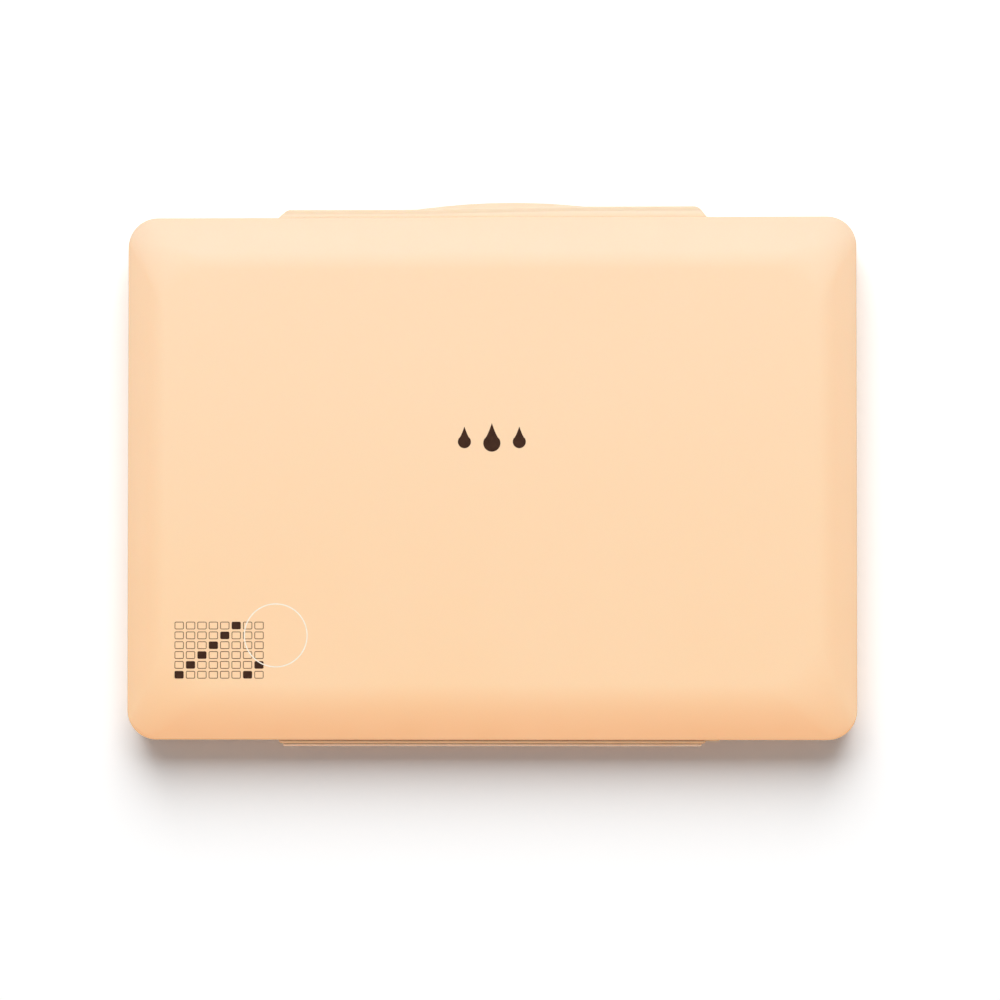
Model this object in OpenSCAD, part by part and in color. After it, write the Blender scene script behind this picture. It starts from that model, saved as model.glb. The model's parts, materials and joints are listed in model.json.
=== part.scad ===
// Flat clamshell box for a set of gouache jelly cups: a domed lid on a shallow base,
// joined by a living hinge in front and held shut by a wide flap clasp at the back.
// Origin at the centre of the underside. +X to the right, +Y towards the clasp, +Z up.

/* [Box] */
// Outer width of the lid, side to side
box_w = 320; // [318:1:360]
// Outer depth of the lid, hinge side to clasp side
box_d = 229.4; // [226:0.2:260]
// Height of the closed box
box_h = 34; // [33:1:40]
// Plan radius of the lid's corners
corner_r = 13; // [11:0.5:18]
// Height of the parting line between base and lid
split_z = 17; // [17:0.5:18]
// Gap between the two rims at the parting line
seam_gap = 0.3; // [0.2:0.1:0.6]

/* [Lid] */
// Wall of the lid's skirt
lid_wall = 1.6; // [1.4:0.1:1.8]
// Thickness of the lid's top
lid_top_t = 1.8; // [1.4:0.1:2]
// Width of the domed shoulder along the left and right sides
shoulder_x = 19; // [14:0.5:22]
// Width of the domed shoulder along the front and back
shoulder_y = 24.5; // [18:0.5:28]
// How far the shoulder drops from the flat top to the edge
shoulder_drop = 8; // [6:0.5:8]
// Radius that rounds the shoulder into the skirt
edge_r = 2; // [1.5:0.5:2.5]
// Plan radius of the flat top's corners
flat_r = 22; // [14:1:30]

/* [Base] */
// How far the base stands in from the lid all round
base_inset = 0.6; // [0.4:0.1:0.8]
// Wall of the base
base_wall = 2.4; // [2.2:0.1:2.6]
// Floor of the base
floor_t = 2; // [1.6:0.1:2.2]
// Radius of the base's bottom edge
bottom_r = 2.5; // [2:0.5:3]
// Height of the locating tongue above the base's rim
tongue_h = 1.5; // [1:0.1:1.5]
// Thickness of the locating tongue
tongue_t = 1.1; // [0.9:0.1:1.1]

/* [Living hinge] */
// How far the hinge stands out from the lid's edge
hinge_reach = 3.2; // [3:0.1:4]
// Left end of the hinge
hinge_x0 = -94; // [-110:1:-60]
// Right end of the hinge
hinge_x1 = 94; // [60:1:110]
// Thickness of the two hinge flanges
flange_t = 1.6; // [1.4:0.1:1.8]
// Outer radius of the bent web that is the hinge itself
web_r = 1.2; // [1:0.1:1.3]
// Thickness of the web
web_t = 0.5; // [0.4:0.1:0.6]

/* [Clasp] */
// Width of the clasp flap next to the lid
clasp_w = 190; // [150:1:220]
// How far the flap's outer face stands out from the lid's edge
clasp_reach = 4.4; // [3.8:0.1:4.8]
// Thickness of the flap
flap_t = 1.6; // [1.4:0.1:1.8]
// Height of the flap's lower edge above the table
flap_bottom_z = 3; // [2:0.5:4]
// Width of the bowed finger lip
lip_w = 97; // [60:1:100]
// How far the middle of the lip bows out from the flap
lip_bow = 3.8; // [2:0.1:4.5]
// Middle of the lip, right of the box's centre
lip_x = 8; // [-10:1:10]
// Width of the catch on the base
catch_w = 60; // [40:1:90]

/* [Cups] */
// Cups along the width
cup_cols = 8; // [8:1:8]
// Cups along the depth
cup_rows = 6; // [6:1:6]
// Pitch of the cups along the width
cup_pitch_x = 38.5; // [37:0.1:38.5]
// Pitch of the cups along the depth
cup_pitch_y = 36; // [35:0.1:36]
// Depth of a cup below its rim
cup_depth = 11; // [9:0.5:11.5]
// Wall and floor of a cup
cup_wall = 0.9; // [0.7:0.1:1]
// Depth of the paint in a cup
paint_depth = 9.1; // [6:0.1:9.5]
// Thickness of the film sealed over a cup
film_t = 0.15; // [0.1:0.05:0.2]

/* [Cup tray] */
// Height of the tray's deck, on which the cups' rims rest
deck_z = 15.2; // [14.8:0.1:15.2]
// Thickness of the deck and of the ribs below it
tray_t = 1.2; // [1:0.1:1.4]

/* [Palette] */
// Height of the palette's lower face inside the closed lid
palette_z = 19.4; // [19.3:0.1:19.8]
// Thickness of the palette's sheet
palette_t = 1.2; // [1:0.1:1.2]
// Thickness of a well's walls and floor
well_wall = 1; // [0.8:0.1:1]
// Depth of the wells
well_depth = 7.1; // [5:0.1:7.1]
// Small wells in the row nearest the clasp
small_wells = 8; // [6:1:8]
// Large wells across the width, in each of two rows
large_wells = 3; // [2:1:4]

/* [Hidden] */
CUP_COUNT = cup_cols * cup_rows;

function cup_name(i) = str("cup_", i < 9 ? "0" : "", i + 1);

ROUND_FN = 64;          // segments of a full circle in preview
LIP_FN = 720;           // segments of the lip's large circle in preview
RING_STEPS = 8;         // segments in each corner of a lid ring
SHOULDER_STEPS = 8;     // rings up the shoulder
EDGE_STEPS = 3;         // rings round the edge
EDGE_TURN = 54;         // degrees that the edge turns before the shoulder takes over
OVERLAP = 0.5;          // how far a joined feature reaches into its wall
RUN_GAP = 0.3;          // clearance between pieces that move past each other

lid_colour = [0.99, 0.85, 0.70];
base_colour = [0.97, 0.82, 0.66];
white_plastic = [0.95, 0.95, 0.94];
film_colour = [0.9, 0.93, 0.95, 0.4];
HUE_DRIFT = 40;         // degrees of hue along a row of cups
DARKER_EACH = 0.08;     // how much darker each cup of a row is than the last
PALEST = 0.15;          // least share of each primary in a cup's colour

half_w = box_w / 2;
half_d = box_d / 2;
rim_z = split_z - seam_gap / 2;
lid_rim_z = split_z + seam_gap / 2;

// Base
base_w = box_w - 2 * base_inset;
base_d = box_d - 2 * base_inset;
base_r = corner_r - base_inset;
cavity_w = base_w - 2 * base_wall;
cavity_d = base_d - 2 * base_wall;
cavity_r = base_r - base_wall;

// Front hinge
hinge_y = -(half_d + hinge_reach - web_r);
hinge_z = split_z;
flange_gap = RUN_GAP;   // from the hinge's axis to each flange, up or down
flange_end_gap = 0.15;  // from the hinge's axis to each flange, along Y
flange_end_r = 1.5;     // plan radius of a flange's outer corners
web_end = 2;            // how much shorter each end of the web is than the flanges

// Rear clasp
clasp_outer_y = half_d + clasp_reach;
clasp_top_z = split_z + flange_gap + flange_t;
flap_inner_y = clasp_outer_y - flap_t;
flap_top_gap = 0.1;     // from the fold's flat part down to the flap
flap_top_z = clasp_top_z - web_t - flap_top_gap;
clasp_taper = 5;        // how much narrower each end is at the outer face
lip_h = 1.6;            // height of the lip's edge
flare_h = 7;            // height over which the lip grows out of the flap
lip_root = 8;           // how far the lip's ring reaches in from its edge, into the flap
ridge_z = 4.9;
ridge_h = 1;
ridge_reach = 1.1;      // how far the ridge stands in from the flap
ridge_end = 2;          // how much shorter each end of the ridge is than the catch
catch_gap = 0.5;        // from the ridge up to the catch
catch_h = 1.8;

// Cups
cup_gap = 1.6;          // between the rims of two cups
cup_rim_reach = 1.85;   // how far a rim stands out from its cup's body
cup_rim_w = cup_pitch_x - cup_gap;
cup_rim_d = cup_pitch_y - cup_gap;
cup_rim_r = 5;
cup_rim_t = 1;
cup_body_w = cup_rim_w - 2 * cup_rim_reach;
cup_body_d = cup_rim_d - 2 * cup_rim_reach;
cup_body_r = 4;
window_gap = 0.4;       // clearance round a cup in its window
tray_gap = 0.4;         // clearance round the tray in the base
film_inset = 0.2;       // how far the film's edge lies in from the rim's

// Palette
palette_edge_gap = 0.5;
well_r = 6;
small_well_w = 33;
small_well_d = 28;
small_well_y = 85;
well_span = 293.5;      // across each row of wells, walls left out
large_well_gap = 5;
large_well_w = (well_span - (large_wells - 1) * large_well_gap) / large_wells;
large_well_d = 81;
large_well_ys = [-59.5, 26.5];
clip_w = 12;
clip_t = 1;
clip_h = 0.5;
clip_gap = 0.1;         // from a clip up to the palette

// A rounded rectangle about the origin.
module rounded_rect(w, d, r) {
    square([w - 2 * r, d], center = true);
    square([w, d - 2 * r], center = true);
    for (sx = [-1, 1], sy = [-1, 1])
        translate([sx * (w / 2 - r), sy * (d / 2 - r)])
            circle(r, $fn = ROUND_FN);
}

// A straight-sided slab with rounded corners between two heights.
module slab(w, d, r, z0, z1) {
    translate([0, 0, z0])
        linear_extrude(z1 - z0)
            rounded_rect(w, d, r);
}

// A slab whose bottom edge is rounded all the way round.
module round_bottomed_slab(w, d, r, h, edge) {
    slab(w - 2 * edge, d - 2 * edge, r - edge, 0, h);
    slab(w, d, r, edge, h);
    for (s = [-1, 1]) {
        translate([0, s * (d / 2 - edge), edge])
            rotate([0, 90, 0])
                cylinder(r = edge, h = w - 2 * r, center = true, $fn = ROUND_FN);
        translate([s * (w / 2 - edge), 0, edge])
            rotate([90, 0, 0])
                cylinder(r = edge, h = d - 2 * r, center = true, $fn = ROUND_FN);
    }
    for (sx = [-1, 1], sy = [-1, 1])
        translate([sx * (w / 2 - r), sy * (d / 2 - r), edge])
            rotate_extrude($fn = ROUND_FN)
                translate([r - edge, 0])
                    circle(edge, $fn = ROUND_FN);
}

// Base: floor, walls, locating tongue, hinge flange and the catch for the clasp.
module base_shell() {
    color(base_colour) {
        difference() {
            union() {
                round_bottomed_slab(base_w, base_d, base_r, rim_z, bottom_r);
                slab(cavity_w + 2 * tongue_t, cavity_d + 2 * tongue_t, cavity_r + tongue_t,
                     rim_z - OVERLAP, rim_z + tongue_h);
            }
            slab(cavity_w, cavity_d, cavity_r, floor_t, box_h);
        }
        hinge_flange(-half_d + base_inset, split_z - flange_gap - flange_t);
        translate([-catch_w / 2, half_d - base_inset - OVERLAP, ridge_z + ridge_h + catch_gap])
            cube([catch_w, flap_inner_y - RUN_GAP - half_d + base_inset + OVERLAP, catch_h]);
    }
}

// One of the two flat flanges that the living hinge joins.
module hinge_flange(wall_y, z0) {
    y0 = hinge_y + flange_end_gap;
    r = flange_end_r;
    translate([0, 0, z0])
        linear_extrude(flange_t) {
            translate([hinge_x0, y0 + r])
                square([hinge_x1 - hinge_x0, wall_y + OVERLAP - y0 - r]);
            translate([hinge_x0 + r, y0])
                square([hinge_x1 - hinge_x0 - 2 * r, r + OVERLAP]);
            for (x = [hinge_x0 + r, hinge_x1 - r])
                translate([x, y0 + r])
                    circle(r, $fn = ROUND_FN);
        }
}

// The points of one rounded-rectangle ring of the lid, counter-clockwise from +X.
function ring(hx, hy, r, z) = [
    for (c = [0:3], k = [0:RING_STEPS])
        let (a = 90 * (c + k / RING_STEPS),
             sx = c == 0 || c == 3 ? 1 : -1,
             sy = c < 2 ? 1 : -1)
        [sx * (hx - r) + r * cos(a), sy * (hy - r) + r * sin(a), z]
];

// Rings of a domed skin, from its rim up to its flat top. inset is how far the skin
// stands in from the outer one, and lower how far its top lies below the outer top.
function dome(inset, lower, z_rim) =
    let (er = max(edge_r - inset, 0.4),
         start = er * (1 - cos(EDGE_TURN)),
         shoulder_z = box_h - lower - shoulder_drop,
         skirt_z = shoulder_z - er * sin(EDGE_TURN))
    concat(
        [ring(half_w - inset, half_d - inset, corner_r - inset, z_rim)],
        [for (k = [0:EDGE_STEPS - 1])
            let (a = EDGE_TURN * k / EDGE_STEPS,
                 i = inset + er * (1 - cos(a)))
            ring(half_w - i, half_d - i, corner_r - i, skirt_z + er * sin(a))],
        [for (k = [0:SHOULDER_STEPS])
            let (t = 1 - k / SHOULDER_STEPS,
                 ix = inset + start + (shoulder_x - start) * (1 - t),
                 iy = inset + start + (shoulder_y - start) * (1 - t),
                 r = (corner_r - inset - start) * t + flat_r * (1 - t))
            ring(half_w - ix, half_d - iy, r, shoulder_z + shoulder_drop * (1 - t * t))]
    );

// The lid's domed skin, closed between an outer and an inner stack of rings.
module domed_skin() {
    outer = dome(0, 0, lid_rim_z);
    inner = dome(lid_wall, lid_top_t, lid_rim_z);
    n = len(outer[0]);
    m = len(outer);
    points = [for (stack = [outer, inner], one = stack, p = one) p];
    below = m * n;
    side = [
        for (k = [0:m - 2], i = [0:n - 1])
            let (j = (i + 1) % n, a = k * n, b = a + n)
            each [[a + i, b + i, b + j], [a + i, b + j, a + j]]
    ];
    lining = [for (f = side) [below + f[2], below + f[1], below + f[0]]];
    rim = [
        for (i = [0:n - 1])
            let (j = (i + 1) % n)
            each [[i, j, below + j], [i, below + j, below + i]]
    ];
    roof = [[for (i = [n - 1:-1:0]) (m - 1) * n + i]];
    ceiling = [[for (i = [0:n - 1]) below + (m - 1) * n + i]];
    polyhedron(points, concat(side, lining, rim, roof, ceiling));
}

// Lid: domed skin, the flanges of hinge and clasp, and the clips that hold the palette.
module lid_shell() {
    color(lid_colour) {
        domed_skin();
        hinge_flange(-half_d, split_z + flange_gap);
        clasp_plan(half_d - OVERLAP, flap_inner_y - RUN_GAP, split_z + flange_gap, flange_t);
        for (s = [-1, 1], x = [-1, 1] * box_w / 4)
            translate([x - clip_w / 2, s * (half_d - lid_wall) - (s > 0 ? clip_t : OVERLAP),
                       palette_z - clip_gap - clip_h])
                cube([clip_w, clip_t + OVERLAP, clip_h]);
    }
}

// Bent strip of thin plastic that joins the two hinge flanges. The box opens by bending it.
module hinge_web() {
    color(lid_colour)
        translate([hinge_x0 + web_end, hinge_y, hinge_z])
            rotate([90, 0, 90])
                linear_extrude(hinge_x1 - hinge_x0 - 2 * web_end) {
                    difference() {
                        circle(web_r, $fn = ROUND_FN);
                        circle(web_r - web_t, $fn = ROUND_FN);
                        translate([0, -2 * web_r])
                            square(4 * web_r);
                    }
                    for (z = [web_r - web_t, -web_r])
                        translate([0, z])
                            square([flange_end_gap, web_t]);
                }
}

// A slice of the clasp's plan between two distances from the box: a bar with tapered ends.
module clasp_plan(y0, y1, z, h) {
    rate = clasp_taper / clasp_reach;
    e0 = clasp_w / 2 - rate * max(y0 - half_d, 0);
    e1 = clasp_w / 2 - rate * max(y1 - half_d, 0);
    translate([0, 0, z])
        linear_extrude(h)
            polygon([[-e0, y0], [e0, y0], [e1, y1], [-e1, y1]]);
}

// Flap that hangs down over the base's back wall, with a bowed finger lip along its edge.
module clasp_flap() {
    half_lip = lip_w / 2;
    lip_arc_r = (half_lip * half_lip + lip_bow * lip_bow) / (2 * lip_bow);
    color(lid_colour) {
        clasp_plan(flap_inner_y, clasp_outer_y, flap_bottom_z, flap_top_z - flap_bottom_z);
        intersection() {
            translate([lip_x, clasp_outer_y + lip_bow - lip_arc_r, flap_bottom_z])
                rotate_extrude($fn = LIP_FN)
                    polygon([
                        [lip_arc_r - lip_root, 0],
                        [lip_arc_r, 0],
                        [lip_arc_r, lip_h],
                        [lip_arc_r - lip_bow, flare_h],
                        [lip_arc_r - lip_root, flare_h]
                    ]);
            translate([lip_x - half_lip, clasp_outer_y - OVERLAP, flap_bottom_z])
                cube([lip_w, lip_bow + 2 * OVERLAP, flare_h]);
        }
    }
}

// Thin fold of plastic from the lid's flange over to the top of the flap.
module clasp_web() {
    flange_y = flap_inner_y - RUN_GAP;
    length = clasp_w - 2 * clasp_taper;
    color(lid_colour)
        translate([-length / 2, 0, 0]) {
            translate([0, flange_y, clasp_top_z - web_t])
                cube([length, clasp_outer_y - flange_y, web_t]);
            translate([0, clasp_outer_y - web_t, flap_top_z])
                cube([length, web_t, clasp_top_z - flap_top_z]);
        }
}

// Springy snap ridge on the flap's inner face. It hooks under the base's catch.
module clasp_ridge() {
    color(lid_colour)
        translate([ridge_end - catch_w / 2, flap_inner_y - ridge_reach, ridge_z])
            cube([catch_w - 2 * ridge_end, ridge_reach, ridge_h]);
}

// Puts its children at the place of cup i, counted from the back left.
module at_cup(i) {
    col = i % cup_cols;
    row = floor(i / cup_cols);
    translate([(col - (cup_cols - 1) / 2) * cup_pitch_x, ((cup_rows - 1) / 2 - row) * cup_pitch_y, 0])
        children();
}

// Tray: a deck with a window for each cup, on a skirt and an egg-crate of ribs.
module cup_tray() {
    color(white_plastic)
        difference() {
            slab(cavity_w - 2 * tray_gap, cavity_d - 2 * tray_gap, cavity_r - tray_gap,
                 floor_t, deck_z);
            for (i = [0:CUP_COUNT - 1])
                at_cup(i) {
                    slab(cup_body_w + 2 * window_gap, cup_body_d + 2 * window_gap,
                         cup_body_r + window_gap, 0, box_h);
                    translate([-(cup_pitch_x - tray_t) / 2, -(cup_pitch_y - tray_t) / 2, 0])
                        cube([cup_pitch_x - tray_t, cup_pitch_y - tray_t, deck_z - tray_t]);
                }
        }
}

// One jelly cup: an open box with a flat rim that hangs in the tray's window.
module cup(i) {
    color(white_plastic)
        at_cup(i)
            difference() {
                union() {
                    slab(cup_body_w, cup_body_d, cup_body_r, deck_z - cup_depth, deck_z);
                    slab(cup_rim_w, cup_rim_d, cup_rim_r, deck_z, deck_z + cup_rim_t);
                }
                slab(cup_body_w - 2 * cup_wall, cup_body_d - 2 * cup_wall, cup_body_r - cup_wall,
                     deck_z - cup_depth + cup_wall, box_h);
            }
}

// Red, green or blue of a hue from 0 to 360, at full saturation.
function hue_part(hue, shift) = min(max(abs(((hue + shift) % 360) / 60 - 3) - 1, 0), 1);

// Colour of the paint in cup i: a full turn of hues over the rows, lighter to darker along each.
function paint_colour(i) =
    let (row = floor(i / cup_cols),
         col = i % cup_cols,
         hue = 360 * row / cup_rows + HUE_DRIFT * col / cup_cols,
         light = 1 - DARKER_EACH * col)
    [for (shift = [0, 240, 120]) (PALEST + (1 - PALEST) * hue_part(hue, shift)) * light];

// The paint in every cup.
module paint_fills() {
    bottom = deck_z - cup_depth + cup_wall;
    for (i = [0:CUP_COUNT - 1])
        color(paint_colour(i))
            at_cup(i)
                slab(cup_body_w - 2 * cup_wall, cup_body_d - 2 * cup_wall,
                     cup_body_r - cup_wall, bottom, bottom + paint_depth);
}

// The clear film sealed over every cup's rim.
module seal_films() {
    for (i = [0:CUP_COUNT - 1])
        color(film_colour)
            at_cup(i)
                slab(cup_rim_w - 2 * film_inset, cup_rim_d - 2 * film_inset, cup_rim_r - film_inset,
                     deck_z + cup_rim_t, deck_z + cup_rim_t + film_t);
}

// Puts its children at the middle of every well; each child 0 is small and child 1 large.
module at_wells() {
    small_pitch = (well_span - small_well_w) / (small_wells - 1);
    for (k = [0:small_wells - 1])
        translate([(k - (small_wells - 1) / 2) * small_pitch, small_well_y, 0])
            children(0);
    for (k = [0:large_wells - 1], y = large_well_ys)
        translate([(k - (large_wells - 1) / 2) * (large_well_w + large_well_gap), y, 0])
            children(1);
}

// Mixing palette, clipped upside down into the lid so that its wells face up when it opens.
module palette() {
    ceiling_z = palette_z + well_depth;
    palette_w = box_w - 2 * (lid_wall + palette_edge_gap);
    palette_d = box_d - 2 * (lid_wall + palette_edge_gap);
    color(white_plastic)
        difference() {
            union() {
                slab(palette_w, palette_d, corner_r - lid_wall - palette_edge_gap,
                     palette_z, palette_z + palette_t);
                at_wells() {
                    slab(small_well_w + 2 * well_wall, small_well_d + 2 * well_wall,
                         well_r + well_wall, palette_z, ceiling_z + well_wall);
                    slab(large_well_w + 2 * well_wall, large_well_d + 2 * well_wall,
                         well_r + well_wall, palette_z, ceiling_z + well_wall);
                }
            }
            at_wells() {
                slab(small_well_w, small_well_d, well_r, 0, ceiling_z);
                slab(large_well_w, large_well_d, well_r, 0, ceiling_z);
            }
        }
}

base_shell();
lid_shell();
hinge_web();
clasp_flap();
clasp_web();
clasp_ridge();
cup_tray();
palette();
paint_fills();
seal_films();
for (i = [0:CUP_COUNT - 1])
    cup(i);
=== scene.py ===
"""Gouache paint set box: a satin plastic clamshell with a domed lid, a living hinge in front,
a flap clasp at the back, and inside it a tray of sealed paint cups and a mixing palette."""

import json
import math

import bmesh
import bpy
from mathutils import Matrix, Vector
from mathutils.geometry import delaunay_2d_cdt

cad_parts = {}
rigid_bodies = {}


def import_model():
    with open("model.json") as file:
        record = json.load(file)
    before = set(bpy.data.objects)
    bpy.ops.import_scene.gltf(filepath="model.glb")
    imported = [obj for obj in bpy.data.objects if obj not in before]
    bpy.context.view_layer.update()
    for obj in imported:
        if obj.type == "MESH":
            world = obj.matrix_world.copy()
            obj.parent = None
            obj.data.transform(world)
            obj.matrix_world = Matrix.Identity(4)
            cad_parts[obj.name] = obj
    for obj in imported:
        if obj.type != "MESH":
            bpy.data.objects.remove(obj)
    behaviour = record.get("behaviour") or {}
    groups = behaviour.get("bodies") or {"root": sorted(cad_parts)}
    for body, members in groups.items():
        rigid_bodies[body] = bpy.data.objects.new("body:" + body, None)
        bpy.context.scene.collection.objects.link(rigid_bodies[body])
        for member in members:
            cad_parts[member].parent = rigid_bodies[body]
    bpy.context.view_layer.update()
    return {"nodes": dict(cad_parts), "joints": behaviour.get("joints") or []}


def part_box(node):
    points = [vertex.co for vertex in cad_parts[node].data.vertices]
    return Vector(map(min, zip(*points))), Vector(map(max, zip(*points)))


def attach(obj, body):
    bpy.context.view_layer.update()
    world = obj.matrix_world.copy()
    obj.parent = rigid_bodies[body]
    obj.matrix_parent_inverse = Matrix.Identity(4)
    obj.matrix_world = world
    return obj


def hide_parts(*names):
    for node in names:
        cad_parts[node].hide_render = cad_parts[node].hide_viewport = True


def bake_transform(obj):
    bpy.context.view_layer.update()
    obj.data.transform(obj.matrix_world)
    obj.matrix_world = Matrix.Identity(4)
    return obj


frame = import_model()

MM = 0.001

# ---------------------------------------------------------------- sizes, first those of the frame

LID_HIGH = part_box("lid_shell")[1]
BASE_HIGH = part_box("base_shell")[1]
PALETTE_LOW, PALETTE_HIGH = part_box("palette")
FLAP_LOW, FLAP_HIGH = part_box("clasp_flap")
RIDGE_LOW, RIDGE_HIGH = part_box("clasp_ridge")
CLASP_WEB_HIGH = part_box("clasp_web")[1]
HINGE_WEB_LOW, HINGE_WEB_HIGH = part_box("hinge_web")
PAINT_LOW, PAINT_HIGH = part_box("paint_fills")
FILM_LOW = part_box("seal_films")[0]
# the axis that the lid turns about
HINGE = next(Vector(j["pos_m"]) for j in frame["joints"] if j["name"] == "lid_hinge")

LID_WALL = 1.6 * MM
PALETTE_GAP = 0.5 * MM
HALF_W = PALETTE_HIGH.x + LID_WALL + PALETTE_GAP
HALF_D = PALETTE_HIGH.y + LID_WALL + PALETTE_GAP
TOP_Z = LID_HIGH.z
CORNER_R = 13 * MM
LID_TOP_T = 1.8 * MM
SHOULDER_X = 19 * MM  # width of the domed shoulder at the sides
SHOULDER_Y = 24.5 * MM  # and along the hinge and the clasp
SHOULDER_DROP = 8 * MM
EDGE_R = 2 * MM  # rounding between the skirt and the shoulder
EDGE_TURN = math.radians(54)
FLAT_R = 22 * MM  # corner radius of the flat top
SEAM_GAP = 0.3 * MM
LID_RIM_Z = HINGE.z + SEAM_GAP / 2
BASE_RIM_Z = HINGE.z - SEAM_GAP / 2

BASE_INSET = 0.6 * MM
BASE_WALL = 2.4 * MM
FLOOR_T = 2 * MM
BOTTOM_R = 2.5 * MM
TONGUE_T = 1.1 * MM  # the rim's inner part, which stands up inside the lid

FLANGE_T = 1.6 * MM
FLANGE_ROOT = 0.8 * MM  # how far a flange starts inside its wall
FLANGE_R = 1.8 * MM  # rounding of the hinge flanges' outer corners in plan
WEB_T = 0.5 * MM
WEB_END = 2 * MM  # how far the hinge flanges run on past the web's ends
RUN_GAP = 0.3 * MM  # clear between parts that move past each other
HINGE_X0 = HINGE_WEB_LOW.x - WEB_END
HINGE_X1 = HINGE_WEB_HIGH.x + WEB_END
HINGE_END_Y = HINGE.y + 0.15 * MM  # where the flanges meet the bent web

FLAP_T = 1.6 * MM
CLASP_HALF = 95 * MM
CLASP_OUT = CLASP_WEB_HIGH.y
CLASP_TOP = CLASP_WEB_HIGH.z
CLASP_REACH = CLASP_OUT - HALF_D
CLASP_DRAW_LEFT = 5 * MM  # how much each end of the clasp draws in over its reach
CLASP_DRAW_RIGHT = 3.6 * MM
FLAP_TOP = CLASP_TOP - 0.6 * MM
LIP_X = 8 * MM  # the finger lip's middle, and half its length
LIP_HALF = 48.5 * MM
LIP_BOW = FLAP_HIGH.y - CLASP_OUT
LIP_R = (LIP_HALF**2 + LIP_BOW**2) / (2 * LIP_BOW)
WING_LEFT = -0.35 * MM  # how the flap's two wings stand off its mean face, as moulded
WING_RIGHT = 0.8 * MM
WING_TURN = 45 * MM  # they change over within this distance of the middle

CUP_COLS, CUP_ROWS = 8, 6
OUTLINE_STEPS = 20  # steps round each corner of the case
CUP_STEPS = 6  # and of a cup

# ---------------------------------------------------------------- mesh helpers


def joined_mesh(name, parts, sharp_deg):
    """One welded mesh from (points, faces) pairs, smooth, its edges sharp past an angle."""
    points, faces = [], []
    for some_points, some_faces in parts:
        start = len(points)
        points += some_points
        faces += [[start + i for i in f] for f in some_faces]
    mesh = bpy.data.meshes.new(name)
    mesh.from_pydata(points, [], faces)
    bm = bmesh.new()
    bm.from_mesh(mesh)
    bmesh.ops.remove_doubles(bm, verts=bm.verts, dist=1e-7)
    bmesh.ops.recalc_face_normals(bm, faces=bm.faces)
    bm.to_mesh(mesh)
    bm.free()
    for polygon in mesh.polygons:
        polygon.use_smooth = True
    mesh.set_sharp_from_angle(angle=math.radians(sharp_deg))
    return mesh


def add_piece(name, parts, material, body, replaced=(), sharp_deg=38):
    """Adds parts as one piece that rides on a body and stands for some nodes."""
    mesh = joined_mesh(name, parts, sharp_deg)
    mesh.materials.append(material)
    obj = bpy.data.objects.new(name, mesh)
    bpy.context.scene.collection.objects.link(obj)
    if body:
        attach(obj, body)
    if replaced:
        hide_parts(*replaced)
    return obj


def rounded_ring(hx, hy, r, z, steps, centre=(0, 0)):
    """A rounded rectangle at height z, counter-clockwise from +X."""
    r = max(r, 0.05 * MM)
    points = []
    for corner in range(4):
        sx = 1 if corner in (0, 3) else -1
        sy = 1 if corner < 2 else -1
        for k in range(steps + 1):
            a = math.pi / 2 * (corner + k / steps)
            x = centre[0] + sx * (hx - r) + r * math.cos(a)
            y = centre[1] + sy * (hy - r) + r * math.sin(a)
            points.append((x, y, z))
    return points


def outline_ring(inset, z, least_r=0.3 * MM):
    """The case's outline at height z, drawn in by an inset."""
    r = max(CORNER_R - inset, least_r)
    return rounded_ring(HALF_W - inset, HALF_D - inset, r, z, OUTLINE_STEPS)


def shrunk_ring(hx, hy, r, share, least=0.02 * MM):
    """A cup's rounded plan scaled about its middle by a share, and never quite to nothing."""
    hx, hy, r = max(hx * share, least), max(hy * share, least), max(r * share, least / 2)
    return rounded_ring(hx, hy, r, 0, CUP_STEPS)


def at_height(outline, z):
    """An outline's points, flat or in space, brought to height z."""
    return [(point[0], point[1], z) for point in outline]


def arc(centre, r, start_deg, end_deg, steps):
    """Points of an arc in a plane, its ends included."""
    points = []
    for k in range(steps + 1):
        a = math.radians(start_deg + (end_deg - start_deg) * k / steps)
        points.append((centre[0] + r * math.cos(a), centre[1] + r * math.sin(a)))
    return points


def quarter_turn(steps):
    """(1 - sine, 1 - cosine) of angles from 0 to 90 degrees: a unit rounding's two offsets."""
    angles = [math.pi / 2 * k / steps for k in range(steps + 1)]
    return [(1 - math.sin(a), 1 - math.cos(a)) for a in angles]


def smooth(t):
    """0 below 0, 1 above 1, and a smooth step between."""
    t = min(max(t, 0.0), 1.0)
    return t * t * (3 - 2 * t)


def stack(rings, cap_start=True, cap_end=True):
    """Points and faces of a skin through rings of equal length, its ends capped."""
    n = len(rings[0])
    points = [p for ring in rings for p in ring]
    faces = []
    for k in range(len(rings) - 1):
        a, b = k * n, (k + 1) * n
        faces += [[a + i, a + (i + 1) % n, b + (i + 1) % n, b + i] for i in range(n)]
    if cap_start:
        faces.append(list(range(n))[::-1])
    if cap_end:
        last = (len(rings) - 1) * n
        faces.append([last + i for i in range(n)])
    return points, faces


def band(outer, inner, z0, z1):
    """A closed band between two outlines of equal length, between two heights."""
    first = at_height(outer, z0)
    rings = [first, at_height(outer, z1), at_height(inner, z1), at_height(inner, z0), first]
    return stack(rings, cap_start=False, cap_end=False)


def bevelled_box(low, high, bevel, segments=2):
    """Points and faces of a box with rounded edges."""
    low, high = Vector(low), Vector(high)
    bm = bmesh.new()
    bmesh.ops.create_cube(bm, size=1)
    for v in bm.verts:
        v.co = [(a + b) / 2 + c * (b - a) for a, b, c in zip(low, high, v.co)]
    edges = bm.edges[:]
    bmesh.ops.bevel(bm, geom=edges, offset=bevel, segments=segments, profile=0.5, affect="EDGES")
    bm.verts.index_update()
    points = [tuple(v.co) for v in bm.verts]
    faces = [[v.index for v in f.verts] for f in bm.faces]
    bm.free()
    return points, faces


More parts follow.
